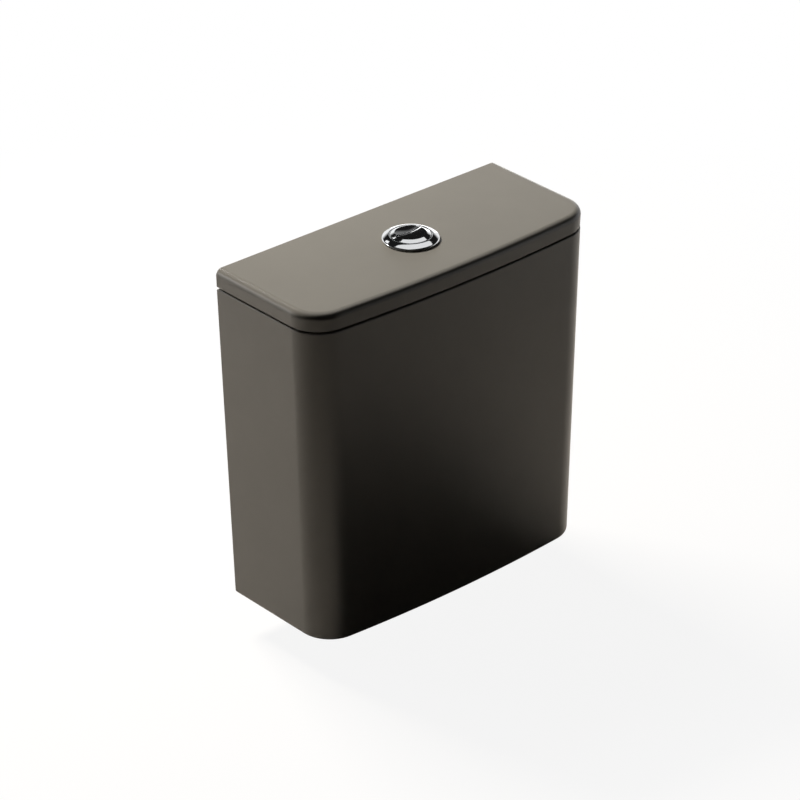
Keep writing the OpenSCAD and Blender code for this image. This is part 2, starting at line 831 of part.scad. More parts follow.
module half_flush_button() {
    color(chrome) difference() {
        union() {
            difference() {
                intersection() {
                    button_pair();
                    behind_split(0);
                }
                intersection() {
                    button_core();
                    behind_split(button_t);
                }
            }
            rod_boss(rod_y);
        }
        rod_socket(rod_y);
    }
}

module push_rod() {
    rod(rod_r, rod_bottom + rod_foot_h - bond, boss_bottom + rod_grip);
    rod(rod_foot_d / 2, rod_bottom, rod_bottom + rod_foot_h);
}

module full_push_rod() {
    color(grey_plastic) translate([0, -rod_y, 0]) push_rod();
}

module half_push_rod() {
    color(blue_plastic) translate([0, rod_y, 0]) push_rod();
}

// Wire of a return spring, as points on its middle line
spring_rise = spring_high - spring_low - spring_wire_d;
spring_steps = spring_turns * turn_rings;
function coil_angle(i) = 360 * i / turn_rings;
function coil_point(i) = [
    spring_d / 2 * cos(coil_angle(i)),
    spring_d / 2 * sin(coil_angle(i)),
    spring_low + spring_wire_d / 2 + spring_rise * i / spring_steps
];
function coil_ring(i) =
    let (
        out = [cos(coil_angle(i)), sin(coil_angle(i)), 0],
        climb = spring_rise / spring_turns / (PI * spring_d),
        up = [climb * sin(coil_angle(i)), -climb * cos(coil_angle(i)), 1] / sqrt(1 + climb * climb)
    )
    [for (k = [0:wire_sides - 1]) let (b = 360 * k / wire_sides)
        coil_point(i) + spring_wire_d / 2 * (cos(b) * out + sin(b) * up)];

module return_spring() {
    rings = [for (i = [0:spring_steps]) coil_ring(i)];
    end = spring_steps * wire_sides;
    skin = [
        for (i = [0:spring_steps - 1], j = [0:wire_sides - 1])
            let (
                k = (j + 1) % wire_sides,
                a = i * wire_sides + j,
                b = i * wire_sides + k,
                c = a + wire_sides,
                d = b + wire_sides
            )
            each [[a, c, b], [b, c, d]]
    ];
    ends = [
        for (j = [1:wire_sides - 2])
            each [[0, j, j + 1], [end, end + j + 1, end + j]]
    ];
    polyhedron(points = [for (ring = rings, p = ring) p], faces = concat(skin, ends));
}

// Least gap between neighbouring turns of a return spring
spring_gap = min([for (i = [0:spring_steps - turn_rings])
    norm(coil_point(i + turn_rings) - coil_point(i))]) - spring_wire_d;
echo(spring_gap = spring_gap);

module full_return_spring() {
    color(steel) translate([0, -rod_y, 0]) return_spring();
}

module half_return_spring() {
    color(steel) translate([0, rod_y, 0]) return_spring();
}

module valve_base() {
    color(white_plastic) difference() {
        union() {
            rod(base_d / 2, flange_low, flange_top);
            rod(tail_r, tail_end, flange_low + bond);
            rod(spigot_d / 2, -spigot_drop, tail_end + bond);
            rod(outlet_bore_d / 2 + seat_w, flange_top - bond, seat_top);
            difference() {
                tube(basket_r - basket_t, basket_r, flange_top - bond, basket_top);
                for (i = [0:window_count - 1])
                    rotate([0, 0, 360 * (i + 0.5) / window_count])
                        box(
                            [0, -window_w / 2, flange_top + window_bar_t],
                            [base_d, window_w / 2, basket_top - window_bar_t]
                        );
            }
        }
        rod(outlet_bore_d / 2, -spigot_drop - cut, seat_top + cut);
    }
}

module base_gasket() {
    color(black_rubber) tube(tail_r + slide_clear, basket_r, floor_z, flange_low);
}

module valve_backnut() {
    nut_low = skirt_h - backnut_h;
    color(white_plastic) difference() {
        tube(tail_r + thread_clear, backnut_d / 2, nut_low, skirt_h);
        for (a = [0:45:315])
            rotate([0, 0, a]) box(
                [backnut_d / 2 - nut_notch_d, -nut_notch_w / 2, nut_low - cut],
                [backnut_d, nut_notch_w / 2, skirt_h - nut_rim_h]
            );
    }
}

module pan_gasket() {
    r = pan_gasket_d / 2;
    nut_gap = backnut_d / 2 + contact_gap;
    shoulder = skirt_h - backnut_h - contact_gap;
    lip = pan_gasket_round;
    color(black_rubber) rotate_extrude() polygon([
        [nut_gap, skirt_h - contact_gap],
        [r - lip, skirt_h - contact_gap],
        [r, skirt_h - lip],
        [r, shoulder],
        [r - pan_gasket_taper, lip - pan_gasket_drop],
        [r - pan_gasket_taper - lip, -pan_gasket_drop],
        [tail_r + contact_gap, -pan_gasket_drop],
        [tail_r + contact_gap, shoulder],
        [nut_gap, shoulder]
    ]);
}

module valve_cage() {
    ring_top = basket_top + cage_ring_h;
    color(white_plastic) {
        tube(cage_half - bond, basket_r, basket_top, ring_top);
        both_x() box(
            [cage_half, -column_w / 2, ring_top - bond],
            [cage_half + column_t, column_w / 2, head_low]
        );
    }
}

module valve_head() {
    slot_x = blade_w / 2 + slide_clear;
    slot_y = blade_t / 2 + slide_clear;
    guide_y = 2 * blade_y - head_y;
    color(white_plastic) difference() {
        union() {
            both_x() box([cage_half, -head_y, head_low], [cage_half + column_t, head_y, head_high]);
            both_y() box(
                [-cage_half - bond, guide_y, head_high - guide_h],
                [cage_half + bond, head_y, head_high]
            );
        }
        both_y() {
            translate([0, blade_y, 0])
                box([-slot_x, -slot_y, head_low], [slot_x, slot_y, head_high + cut]);
            translate([0, pivot_y, pivot_z])
                bar_x(pin_d / 2 + pin_clear, 2 * (cage_half + column_t + cut));
        }
    }
}

module rocker_pins() {
    color(steel)
        both_y() translate([0, pivot_y, pivot_z]) bar_x(pin_d / 2, 2 * (cage_half + column_t));
}

// The full flush plunger: a blade in its guide, and a top plate under the push rod
module plunger() {
    plate_w = max(blade_w, rod_foot_d) + 2 * plate_margin;
    plate_end = rod_y - rod_foot_d / 2 - plate_margin;
    box(
        [-blade_w / 2, -blade_y - blade_t / 2, blade_foot],
        [blade_w / 2, -blade_y + blade_t / 2, plunger_top]
    );
    box([-plate_w / 2, -blade_y - blade_t / 2, plunger_z], [plate_w / 2, -plate_end, plunger_top]);
}

module full_plunger() {
    color(grey_plastic) plunger();
}

module half_plunger() {
    color(blue_plastic) turned() plunger();
}

// A rocker about its pivot, level, with its lifting prongs towards +Y
module rocker() {
    difference() {
        union() {
            bar_x(hub_d / 2, 2 * hub_half);
            for (side = [-1, 1])
                translate([side * prong_x, 0, 0]) {
                    box([-prong_w / 2, 0, -bar_t / 2], [prong_w / 2, lift_arm, bar_t / 2]);
                    translate([0, lift_arm, 0]) bar_x(nose_r, prong_w);
                }
            box([-press_w / 2, -press_arm, -bar_t / 2], [press_w / 2, 0, bar_t / 2]);
            translate([0, -press_arm, 0]) bar_x(nose_r, press_w);
        }
        bar_x(pin_d / 2 + pin_clear, 2 * (hub_half + cut));
    }
}

module full_rocker() {
    color(grey_plastic) translate([0, -pivot_y, pivot_z]) rotate([-swing, 0, 0]) rocker();
}

module half_rocker() {
    color(blue_plastic) turned() translate([0, -pivot_y, pivot_z]) rotate([-swing, 0, 0]) rocker();
}

// The collar that the full flush rocker lifts, with the overflow tube standing on it
module lift_collar() {
    ri = tube_r + slide_clear;
    color(grey_plastic) difference() {
        union() {
            rod(ri + collar_wall, collar_z, collar_z + collar_t);
            box([-lug_x, -lug_l, collar_z], [lug_x, -lug_gap, collar_z + collar_t]);
        }
        rod(ri, collar_z - cut, collar_z + collar_t + cut);
    }
}

// The overflow tube, with the disc over its seal below, and above it the lugs over the rockers
module overflow_tube() {
    tube_low = seal_z - retainer_h;
    collar_ro = tube_r + slide_clear + collar_wall;
    color(white_plastic) difference() {
        union() {
            rod(tube_r, tube_low, lip_z);
            rod(seal_r - disc_step, disc_z, disc_z + disc_t);
            rod(collar_ro, flange_z, flange_z + collar_t);
            box([-lug_x, -lug_l, flange_z], [lug_x, lug_l, flange_z + collar_t]);
            both_x() box(
                [collar_ro + slide_clear, lug_gap, collar_z],
                [lug_x, lug_l, flange_z + bond]
            );
        }
        rod(tube_r - tube_t, tube_low - cut, lip_z + cut);
    }
}

module flush_seal() {
    color(red_rubber) tube(tube_r + thread_clear, seal_r, seal_z, disc_z);
}

module seal_retainer() {
    color(grey_plastic)
        tube(tube_r + thread_clear, tube_r + thread_clear + retainer_w, seal_z - retainer_h, seal_z);
}

// An upturned cup around the tube, cut flat at the sides so that the columns guide it
module float_block(half_x, r, low, high) {
    intersection() {
        rod(r, low, high);
        box([-half_x, -r, low], [half_x, r, high]);
    }
}

module half_flush_float() {
    half_x = cage_half - slide_clear;
    top = float_rest_z + half_float_h;
    core_r = tube_r + float_clear;
    color(blue_plastic) difference() {
        float_block(half_x, half_float_d / 2, float_rest_z, top);
        difference() {
            float_block(
                half_x - float_t, half_float_d / 2 - float_t, float_rest_z - cut, top - float_t
            );
            rod(core_r + float_t, float_rest_z - 2 * cut, top);
        }
        rod(core_r, float_rest_z - cut, top + cut);
    }
}

module float_stops() {
    low = floor_z + stop_h;
    inner_x = cage_half - stop_wall;
    outer_x = cage_half + column_t + stop_wall;
    hold_y = column_w / 2 + stop_wall;
    color(grey_plastic)
        both_x() difference() {
            box([inner_x, -hold_y, low], [outer_x, hold_y, low + stop_t]);
            box(
                [cage_half - thread_clear, -column_w / 2 - thread_clear, low - cut],
                [cage_half + column_t + thread_clear, column_w / 2 + thread_clear, low + stop_t + cut]
            );
        }
}

module inlet_shank() {
    thread_top = inlet_nut_low - contact_gap;
    color(white_plastic) at_inlet() difference() {
        union() {
            rod(inlet_r, -inlet_drop, thread_top);
            rod(inlet_r - neck_relief, thread_top - bond, inlet_flange_z + bond);
            rod(inlet_flange_d / 2, inlet_flange_z, shank_base);
            rod(shank_r, shank_base - bond, shank_top);
        }
        rod(inlet_bore_d / 2, -inlet_drop - cut, shank_top + cut);
    }
}

module inlet_filter() {
    filter_r = inlet_bore_d / 2 - pin_clear;
    low = filter_t - inlet_drop;
    color(blue_plastic) at_inlet() difference() {
        rod(filter_r, low, low + filter_l);
        rod(filter_r - filter_t, low - cut, low + filter_l - filter_t);
        for (a = [0, 60, 120])
            rotate([0, 0, a]) box(
                [-inlet_bore_d, -filter_slot_w / 2, low + filter_foot_h],
                [inlet_bore_d, filter_slot_w / 2, low + filter_l - 2 * filter_t]
            );
    }
}

module inlet_seal() {
    color(black_rubber) at_inlet()
        tube(inlet_r - neck_relief + slide_clear, inlet_flange_d / 2, floor_z, inlet_flange_z);
}

module inlet_backnut() {
    color(white_plastic) at_inlet() difference() {
        hexagon(inlet_nut_af, inlet_nut_low, skirt_h);
        rod(inlet_r - neck_relief + slide_clear, inlet_nut_low - cut, skirt_h + cut);
    }
}

module riser_tube() {
    color(grey_plastic) at_inlet() tube(riser_ri, riser_ro, riser_low, riser_top);
}

module height_collar() {
    ri = riser_ro + thread_clear;
    color(blue_plastic) at_inlet() difference() {
        tube(ri, ri + height_collar_t, riser_low, riser_low + height_collar_h);
        for (a = [0:60:300])
            rotate([0, 0, a]) translate([ri + height_collar_t + collar_grip_r / 3, 0, 0])
                rod(collar_grip_r, riser_low - cut, riser_low + height_collar_h + cut);
    }
}

module fill_head() {
    spout_y = head_d / 2 + spout_d / 2 - bond;
    spout_top = head_z + fill_head_h / 2 + spout_d / 2;
    color(white_plastic) at_inlet() difference() {
        union() {
            rod(head_d / 2, head_z, cap_z);
            box(
                [-spout_d / 2, 0, spout_top - spout_d],
                [spout_d / 2, spout_y, spout_top]
            );
            translate([0, spout_y, 0]) rod(spout_d / 2, spout_top - spout_l, spout_top);
        }
        rod(riser_ro + thread_clear, head_z - cut, riser_top + contact_gap);
        rod(inlet_bore_d / 2, head_z, cap_z + cut);
        rod(head_d / 2 - head_t, cap_z - diaphragm_t - contact_gap, cap_z + cut);
        translate([0, spout_y, 0])
            rod(spout_d / 2 - spout_t, spout_top - spout_l - cut, spout_top - spout_t);
    }
}

module fill_diaphragm() {
    color(black_rubber) at_inlet()
        rod(head_d / 2 - head_t - slide_clear, cap_z - diaphragm_t, cap_z);
}

module fill_cap() {
    ear_in = lever_w / 2 + contact_gap;
    ear_half = lever_hub_d / 2;
    color(grey_plastic) at_inlet() difference() {
        union() {
            rod(cap_r, cap_z, cap_top);
            for (i = [0:cap_grips - 1])
                rotate([0, 0, 360 * (i + 0.5) / cap_grips]) translate([cap_r, 0, 0])
                    rod(cap_grip_r, cap_z, cap_top - cap_grip_r);
            both_y() {
                box(
                    [-lever_back - ear_half, ear_in, cap_top - bond],
                    [-lever_back + ear_half, ear_in + ear_t, lever_z]
                );
                translate([-lever_back, ear_in + ear_t / 2, lever_z]) bar_y(ear_half, ear_t);
            }
        }
        translate([-lever_back, 0, lever_z])
            bar_y(lever_pin_d / 2 + pin_clear, 2 * (ear_in + ear_t + cut));
    }
}

// The float's lever, about its pin, level, with the fork for the adjuster rod towards +X
module lever() {
    slot_half = adjuster_d / 2 + fork_play;
    slot_w = adjuster_d / 2 + fork_clear;
    fork_end = lever_arm + slot_half + fork_t;
    difference() {
        union() {
            bar_y(lever_hub_d / 2, lever_w);
            box(
                [-pilot_x - pilot_d / 2, -lever_w / 2, -lever_t / 2],
                [fork_end, lever_w / 2, lever_t / 2]
            );
            translate([-pilot_x, 0, 0]) rod(pilot_d / 2, -pilot_l, 0);
        }
        bar_y(lever_pin_d / 2 + pin_clear, lever_w + 2 * cut);
        box(
            [lever_arm - slot_half, -slot_w, -lever_t],
            [lever_arm + slot_half, slot_w, lever_t]
        );
    }
}

module fill_lever() {
    color(blue_plastic) at_inlet()
        translate([-lever_back, 0, lever_z]) rotate([0, lever_swing, 0]) lever();
}

module lever_pin() {
    color(steel) at_inlet() translate([-lever_back, 0, lever_z])
        bar_y(lever_pin_d / 2, lever_w + 2 * (contact_gap + ear_t));
}

module float_cup() {
    boss_r = adjuster_d / 2 + float_boss_t;
    color(grey_plastic) at_inlet() difference() {
        union() {
            difference() {
                tube(float_ri, float_d / 2, float_low, float_top);
                tube(float_ri + float_t, float_d / 2 - float_t, float_low - cut, float_top - float_t);
            }
            translate([adjuster_x, 0, 0])
                rod(boss_r, adjuster_low - float_boss_t, float_top + float_boss_t);
        }
        translate([adjuster_x, 0, 0])
            rod(adjuster_d / 2 + pin_clear, adjuster_low, float_top + float_boss_t + cut);
    }
}

module adjuster_rod() {
    color(white_plastic) at_inlet() translate([adjuster_x, 0, 0])
        rod(adjuster_d / 2, adjuster_low + contact_gap, adjuster_top);
}

module adjuster_nuts() {
    color(blue_plastic) at_inlet() translate([adjuster_x, 0, 0])
        for (z = [lower_nut_z, upper_nut_z])
            tube(adjuster_d / 2 + pin_clear, nut_r, z, z + adjuster_nut_h);
}

// The stack on each coupling bolt: cone washer, plate washer and head over the floor, and plate washer
// and clamp nut under it
cone_top = floor_z + cone_washer_t;
bolt_head_z = cone_top + plate_washer_t;
under_washer_z = skirt_h - plate_washer_t;
bolt_r = bolt_d / 2;
bolt_thread_top = under_washer_z - bolt_nut_h - contact_gap;

module coupling_bolts() {
    color(steel) at_bolts() {
        rod(bolt_r, -bolt_drop, bolt_thread_top);
        rod(bolt_r - bolt_relief, bolt_thread_top - bond, bolt_head_z + bond);
        hexagon(bolt_af, bolt_head_z, bolt_head_z + bolt_head_h);
    }
}

module bolt_cone_washers() {
    nose_ri = bolt_r + thread_clear;
    nose_ro = bolt_r + hole_clear - slide_clear;
    color(black_rubber) at_bolts() rotate_extrude() polygon([
        [nose_ri, floor_z - cone_nose_l],
        [nose_ro, floor_z - cone_nose_l],
        [nose_ro, floor_z],
        [cone_washer_d / 2, floor_z],
        [plate_washer_d / 2, cone_top],
        [nose_ri, cone_top]
    ]);
}

module bolt_plate_washers() {
    color(steel) at_bolts()
        for (z = [cone_top, under_washer_z])
            tube(bolt_r + thread_clear, plate_washer_d / 2, z, z + plate_washer_t);
}

module bolt_nuts() {
    color(brass) at_bolts() difference() {
        hexagon(bolt_af, under_washer_z - bolt_nut_h, under_washer_z);
        rod(bolt_r + thread_clear, under_washer_z - bolt_nut_h - cut, under_washer_z + cut);
    }
}

tank_body();
tank_lid();
lid_buffers();
button_bezel();
button_sleeve();
button_washer();
button_nut();
full_flush_button();
half_flush_button();
full_push_rod();
half_push_rod();
full_return_spring();
half_return_spring();
valve_base();
base_gasket();
valve_backnut();
pan_gasket();
valve_cage();
valve_head();
rocker_pins();
full_plunger();
half_plunger();
full_rocker();
half_rocker();
lift_collar();
overflow_tube();
flush_seal();
seal_retainer();
half_flush_float();
float_stops();
inlet_shank();
inlet_filter();
inlet_seal();
inlet_backnut();
riser_tube();
height_collar();
fill_head();
fill_diaphragm();
fill_cap();
fill_lever();
lever_pin();
float_cup();
adjuster_rod();
adjuster_nuts();
coupling_bolts();
bolt_cone_washers();
bolt_plate_washers();
bolt_nuts();
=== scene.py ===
"""Studio model of a close coupled toilet cistern, built over its CAD frame.

Metres, +Z up, front towards -Y.
"""

import json
import math

import bmesh
import bpy
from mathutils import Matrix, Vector


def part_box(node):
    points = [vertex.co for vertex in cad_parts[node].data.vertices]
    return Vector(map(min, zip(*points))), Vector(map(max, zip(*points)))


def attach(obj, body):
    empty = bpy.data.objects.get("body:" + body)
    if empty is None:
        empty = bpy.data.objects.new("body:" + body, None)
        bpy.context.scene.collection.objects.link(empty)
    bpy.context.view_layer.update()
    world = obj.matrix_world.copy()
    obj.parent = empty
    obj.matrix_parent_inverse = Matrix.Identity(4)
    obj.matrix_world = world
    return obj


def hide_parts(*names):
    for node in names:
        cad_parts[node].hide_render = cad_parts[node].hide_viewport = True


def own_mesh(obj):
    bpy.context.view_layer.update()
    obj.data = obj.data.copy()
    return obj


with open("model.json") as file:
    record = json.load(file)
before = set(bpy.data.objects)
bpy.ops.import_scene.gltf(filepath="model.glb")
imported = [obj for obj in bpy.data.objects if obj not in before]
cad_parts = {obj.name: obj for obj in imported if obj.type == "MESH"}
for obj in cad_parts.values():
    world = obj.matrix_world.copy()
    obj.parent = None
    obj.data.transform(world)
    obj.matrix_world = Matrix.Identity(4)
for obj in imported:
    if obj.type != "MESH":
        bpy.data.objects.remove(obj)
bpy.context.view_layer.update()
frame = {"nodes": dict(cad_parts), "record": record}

ops = bpy.ops
mm = 0.001
NEAR = 0.02 * mm
LEVEL = 0.99
UPRIGHT = 0.1
TURN = 2 * math.pi

# Sizes of the ceramic that the CAD boxes don't give
FRONT_BOW = 8.6 * mm
CORNER_R = 36 * mm
SIDE_LEAN = 10 * mm
BACK_LEAN = 5 * mm
WALL = 10 * mm
FOOT_ROUND = 4 * mm
RIM_ROUND = 1.3 * mm
SKIRT_T = 12 * mm
SKIRT_H = 27 * mm
FLOOR_Z = 40 * mm
CAVITY_ROUND = 8 * mm
VALVE_HOLE_R = 31.3 * mm
BOLT_HOLE_R = 5.5 * mm
INLET_HOLE_R = 11.98 * mm
LID_H = 19.5 * mm
LID_ROUND = 7.5 * mm
LID_LEAN = 0.7 * mm
LID_EDGE_ROUND = 0.9 * mm
LID_EDGE_W = 16 * mm
LID_PLATE = 11 * mm
LID_HOLLOW_ROUND = 3 * mm
LID_INNER_ROUND = 0.5 * mm
LID_HOLE_R = 23.7 * mm
RIB_T = 6 * mm
RIB_GAP = 2 * mm
RIB_ROOT = 2 * mm
RIB_ROUND = 1.5 * mm
RIB_FRONT_Y = -57.9 * mm
RIB_FRONT_X = (70 * mm, 130 * mm)
RIB_SIDE_Y = 30 * mm
CORNER_STEPS = 16
BOW_STEPS = 32

# Places of the bolts and the inlet
BOLT_X = 75 * mm
INLET_X = -125 * mm
INLET_Y = 8 * mm

# Places read from the CAD frame
tank_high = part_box("tank_body")[1]
lid_low, lid_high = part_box("tank_lid")
half_w = lid_high[0]
half_d = lid_high[1]
rim_z = tank_high[2]
lid_top = lid_high[2]
lid_z = lid_top - LID_H
lid_under = lid_top - LID_PLATE
overhang = half_w - tank_high[0]


# Modelling steps

def object_mode():
    if bpy.context.mode != "OBJECT":
        ops.object.mode_set(mode="OBJECT")


def only(obj):
    """In object mode, select one object alone and make it active."""
    object_mode()
    ops.object.select_all(action="DESELECT")
    obj.select_set(True)
    bpy.context.view_layer.objects.active = obj


def edit(obj):
    only(obj)
    ops.object.mode_set(mode="EDIT")


def begin(name, x=0, y=0):
    """A new object with an empty mesh, in edit mode."""
    object_mode()
    ops.object.select_all(action="DESELECT")
    ops.mesh.primitive_plane_add(size=mm, location=(x, y, 0))
    obj = bpy.context.object
    obj.name = name
    obj.data.name = name
    ops.object.mode_set(mode="EDIT")
    ops.mesh.delete(type="VERT")
    return obj


def draw(points, closed=True):
    """In edit mode, draw a line by extruding a vertex from point to point."""
    ops.mesh.select_mode(type="VERT")
    ops.mesh.select_all(action="DESELECT")
    ops.mesh.primitive_plane_add(size=mm, location=points[0])
    ops.mesh.merge(type="CENTER")
    for a, b in zip(points, points[1:]):
        ops.mesh.extrude_vertices_move(TRANSFORM_OT_translate={"value": Vector(b) - Vector(a)})
    if closed:
        mesh = bmesh.from_edit_mesh(bpy.context.object.data)
        mesh.verts.ensure_lookup_table()
        mesh.verts[-len(points)].select_set(True)
        ops.mesh.edge_face_add()


def clean():
    """In edit mode, merge doubled vertices and turn the normals outwards."""
    ops.mesh.select_all(action="SELECT")
    ops.mesh.remove_doubles(threshold=NEAR)
    ops.mesh.normals_make_consistent(inside=False)


def pick(kind, test):
    """In edit mode, select the items of one kind that pass a test."""
    ops.mesh.select_mode(type=kind)
    ops.mesh.select_all(action="DESELECT")
    mesh = bmesh.from_edit_mesh(bpy.context.object.data)
    mesh.normal_update()
    for item in {"VERT": mesh.verts, "EDGE": mesh.edges, "FACE": mesh.faces}[kind]:
        if test(item):
            item.select_set(True)
    mesh.select_flush_mode()
    bmesh.update_edit_mesh(bpy.context.object.data)


def at_z(z):
    """A test for edges or faces that lie at one height."""
    return lambda item: all(abs(v.co.z - z) < NEAR for v in item.verts)


def facing(z, up):
    """A test for level faces at one height that face up, or down."""
    return lambda face: at_z(z)(face) and face.normal.z * up > LEVEL


def brink(z):
    """A test for edges at one height where an upright face begins."""
    return lambda e: at_z(z)(e) and min(abs(f.normal.z) for f in e.link_faces) < UPRIGHT


def bevel(width, segments):
    ops.mesh.bevel(offset=width, segments=segments, affect="EDGES", clamp_overlap=False)


def extrude_up(dz):
    ops.mesh.extrude_region_move(TRANSFORM_OT_translate={"value": (0, 0, dz)})


def modify(obj, kind, **settings):
    """Add a modifier to an object and apply it."""
    only(obj)
    ops.object.modifier_add(type=kind)
    modifier = obj.modifiers[-1]
    for key, value in settings.items():
        setattr(modifier, key, value)
    ops.object.modifier_apply(modifier=modifier.name)


def combine(obj, tool, operation="DIFFERENCE"):
    """Cut an object by a tool, or join them, and remove the tool."""
    modify(obj, "BOOLEAN", operation=operation, object=tool, solver="EXACT")
    only(tool)
    ops.object.delete()


def join(obj, other):
    """Put another object's mesh into an object as it is."""
    only(obj)
    other.select_set(True)
    ops.object.join()


def peg(r, low, high, x=0, y=0, sides=96):
    """An upright cylinder as a tool."""
    ops.mesh.primitive_cylinder_add(
        vertices=sides, radius=r, depth=high - low, location=(x, y, (low + high) / 2)
    )
    return bpy.context.object


def block(low, high, round_off):
    """A box with rounded edges as a tool."""
    middle = [(a + b) / 2 for a, b in zip(low, high)]
    ops.mesh.primitive_cube_add(size=1, location=middle)
    obj = bpy.context.object
    ops.object.mode_set(mode="EDIT")
    ops.transform.resize(value=[b - a for a, b in zip(low, high)], center_override=middle)
    ops.mesh.select_all(action="SELECT")
    bevel(round_off, segments=3)
    object_mode()
    return obj


def turned(name, profile, x=0, y=0, steps=96, closed=True):
    """An object turned about an upright axis from points of radius and height. It stays in edit mode."""
    obj = begin(name)
    draw([(x + r, y, z) for r, z in profile], closed)
    ops.mesh.select_all(action="SELECT")
    ops.mesh.spin(steps=steps, angle=TURN, center=(x, y, 0), axis=(0, 0, 1))
    clean()
    return obj


def wind(obj, pitch, turns, steps):
    """Wind a section up round its object's upright axis and close its ends. It ends in edit mode."""
    modify(
        obj, "SCREW", angle=TURN, steps=steps, render_steps=steps, iterations=turns, screw_offset=pitch,
        use_smooth_shade=False,
    )
    edit(obj)
    ops.mesh.select_all(action="SELECT")
    ops.mesh.fill_holes(sides=0)


def arc(x, y, r, start, end, steps):
    """Points on a circle between two angles in degrees."""
    angles = [math.radians(start + (end - start) * i / steps) for i in range(steps + 1)]
    return [(x + r * math.cos(a), y + r * math.sin(a)) for a in angles]


def bow(start, end, start_lean, end_lean, steps):
    """Points between two ends, the ends left out, on a line that bends from one lean to another."""
    a = math.radians(start_lean)
    b = math.radians(end_lean)
    points = []
    for i in range(1, steps):
        turn = a + (b - a) * i / steps
        share = (math.cos(a) - math.cos(turn)) / (math.cos(a) - math.cos(b))
        lift = (math.sin(turn) - math.sin(a)) / (math.sin(b) - math.sin(a))
        points.append((start[0] + (end[0] - start[0]) * share, start[1] + (end[1] - start[1]) * lift))
    return points


def dress(obj, slot, body, *nodes, angle=32):
    """Finish a piece: shading, material, the body it moves with and the CAD nodes it stands for."""
    only(obj)
    ops.object.transform_apply(location=True, rotation=True, scale=True)
    ops.object.shade_smooth_by_angle(angle=math.radians(angle))
    modify(obj, "WEIGHTED_NORMAL", keep_sharp=True, weight=80)
    obj.data.materials.clear()
    obj.data.materials.append(MATERIALS[slot])
    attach(obj, body)
    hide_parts(*nodes)


# Materials

class Value:
    """A shader socket with arithmetic, and a method that adds any other node."""

    def __init__(self, tree, socket):
        self.tree = tree
        self.socket = socket

    def node(self, kind, inputs, output=0, **settings):
        made = self.tree.nodes.new(kind)
        for key, value in settings.items():
            setattr(made, key, value)
        for key, value in inputs.items():
            if isinstance(value, Value):
                self.tree.links.new(value.socket, made.inputs[key])
            else:
                made.inputs[key].default_value = value
        return Value(self.tree, made.outputs[output])

    def math(self, operation, a, b):
        return self.node("ShaderNodeMath", {0: a, 1: b}, operation=operation)

    def __add__(self, other):
        return self.math("ADD", self, other)

    def __sub__(self, other):
        return self.math("SUBTRACT", self, other)

    def __rsub__(self, other):
        return self.math("SUBTRACT", other, self)

    def __mul__(self, other):
        return self.math("MULTIPLY", self, other)

    def noise(self, scale, detail, rough=0.5):
        """Noise around zero at this place, of a wavelength of one over scale."""
        made = self.node(
            "ShaderNodeTexNoise",
            {"Vector": self, "Scale": scale, "Detail": detail, "Roughness": rough},
        )
        return made - 0.5

    def stretch(self, x, y, z):
        return self.node("ShaderNodeVectorMath", {0: self, 1: (x, y, z)}, operation="MULTIPLY")

    def ramp(self, low, high):
        """0 up to one value, 1 from another on, and even in between."""
        inputs = {"Value": self, "From Min": low, "From Max": high}
        return self.node("ShaderNodeMapRange", inputs, clamp=True)

    def blend(self, a, b):
        """Colour a where this is 0 and b where it is 1."""
        return self.node("ShaderNodeMixRGB", {"Fac": self, "Color1": a, "Color2": b})

    def bump(self, strength, distance):
        return self.node(
            "ShaderNodeBump", {"Height": self, "Strength": strength, "Distance": distance}, "Normal"
        )


def linear(r, g, b):
    """A screen colour of 0 to 255 as the linear colour that the shaders take."""
    def one(c):
        c /= 255
        return c / 12.92 if c <= 0.04045 else ((c + 0.055) / 1.055) ** 2.4
    return one(r), one(g), one(b), 1.0


def shader(name):
    """A new material, its principled shader and the object's own coordinates."""
    material = bpy.data.materials.new(name)
    material.use_nodes = True
    tree = material.node_tree
    surface = tree.nodes["Principled BSDF"]
    place = Value(tree, tree.nodes.new("ShaderNodeTexCoord").outputs["Object"])
    return material, surface, place


def feed(surface, **values):
    """Link or set a shader's sockets, named with underscores."""
    for key, value in values.items():
        socket = surface.inputs[key.replace("_", " ")]
        if isinstance(value, Value):
            value.tree.links.new(value.socket, socket)
        else:
            socket.default_value = value


def ceramic(name, pale, dark):
    """Satin glaze: faint clouds of tone, fine specks and a soft, slightly uneven skin."""
    material, surface, place = shader(name)
    clouds = place.noise(9, 4) * 0.9 + place.noise(38, 2) * 0.35 + 0.5
    specks = place.noise(2600, 1) * 0.25
    skin = place.noise(140, 2) * 0.5 + place.noise(1900, 2) * 0.2
    feed(
        surface,
        Base_Color=(clouds + specks).blend(dark, pale),
        Roughness=place.noise(24, 3) * 0.08 + 0.34,
        Normal=skin.bump(0.05, 1.2 * mm),
        IOR=1.5,
    )
    return material


def metal(name, pale, dark, rough, grain, lift):
    """Metal with smudges in its polish and a fine grain drawn out along X."""
    material, surface, place = shader(name)
    smudge = place.noise(70, 4)
    lines = place.stretch(0.06, 1, 1).noise(grain, 2)
    feed(
        surface,
        Base_Color=(smudge * 0.8 + lines * 0.6 + 0.5).blend(dark, pale),
        Roughness=smudge * rough * 0.8 + rough,
        Normal=(lines + place.noise(45, 2) * 0.6).bump(lift, 0.1 * mm),
        Metallic=1.0,
    )
    return material


def plastic(name, pale, dark, rough):
    """Moulded plastic: flow clouds, fine texture and a slightly uneven shine."""
    material, surface, place = shader(name)
    flow = place.stretch(1, 1, 0.4).noise(45, 4)
    grain = place.noise(1500, 2)
    feed(
        surface,
        Base_Color=(flow * 1.1 + grain * 0.2 + 0.5).blend(dark, pale),
        Roughness=flow * 0.16 + rough,
        Normal=(grain * 0.6 + flow).bump(0.06, 0.15 * mm),
    )
    return material


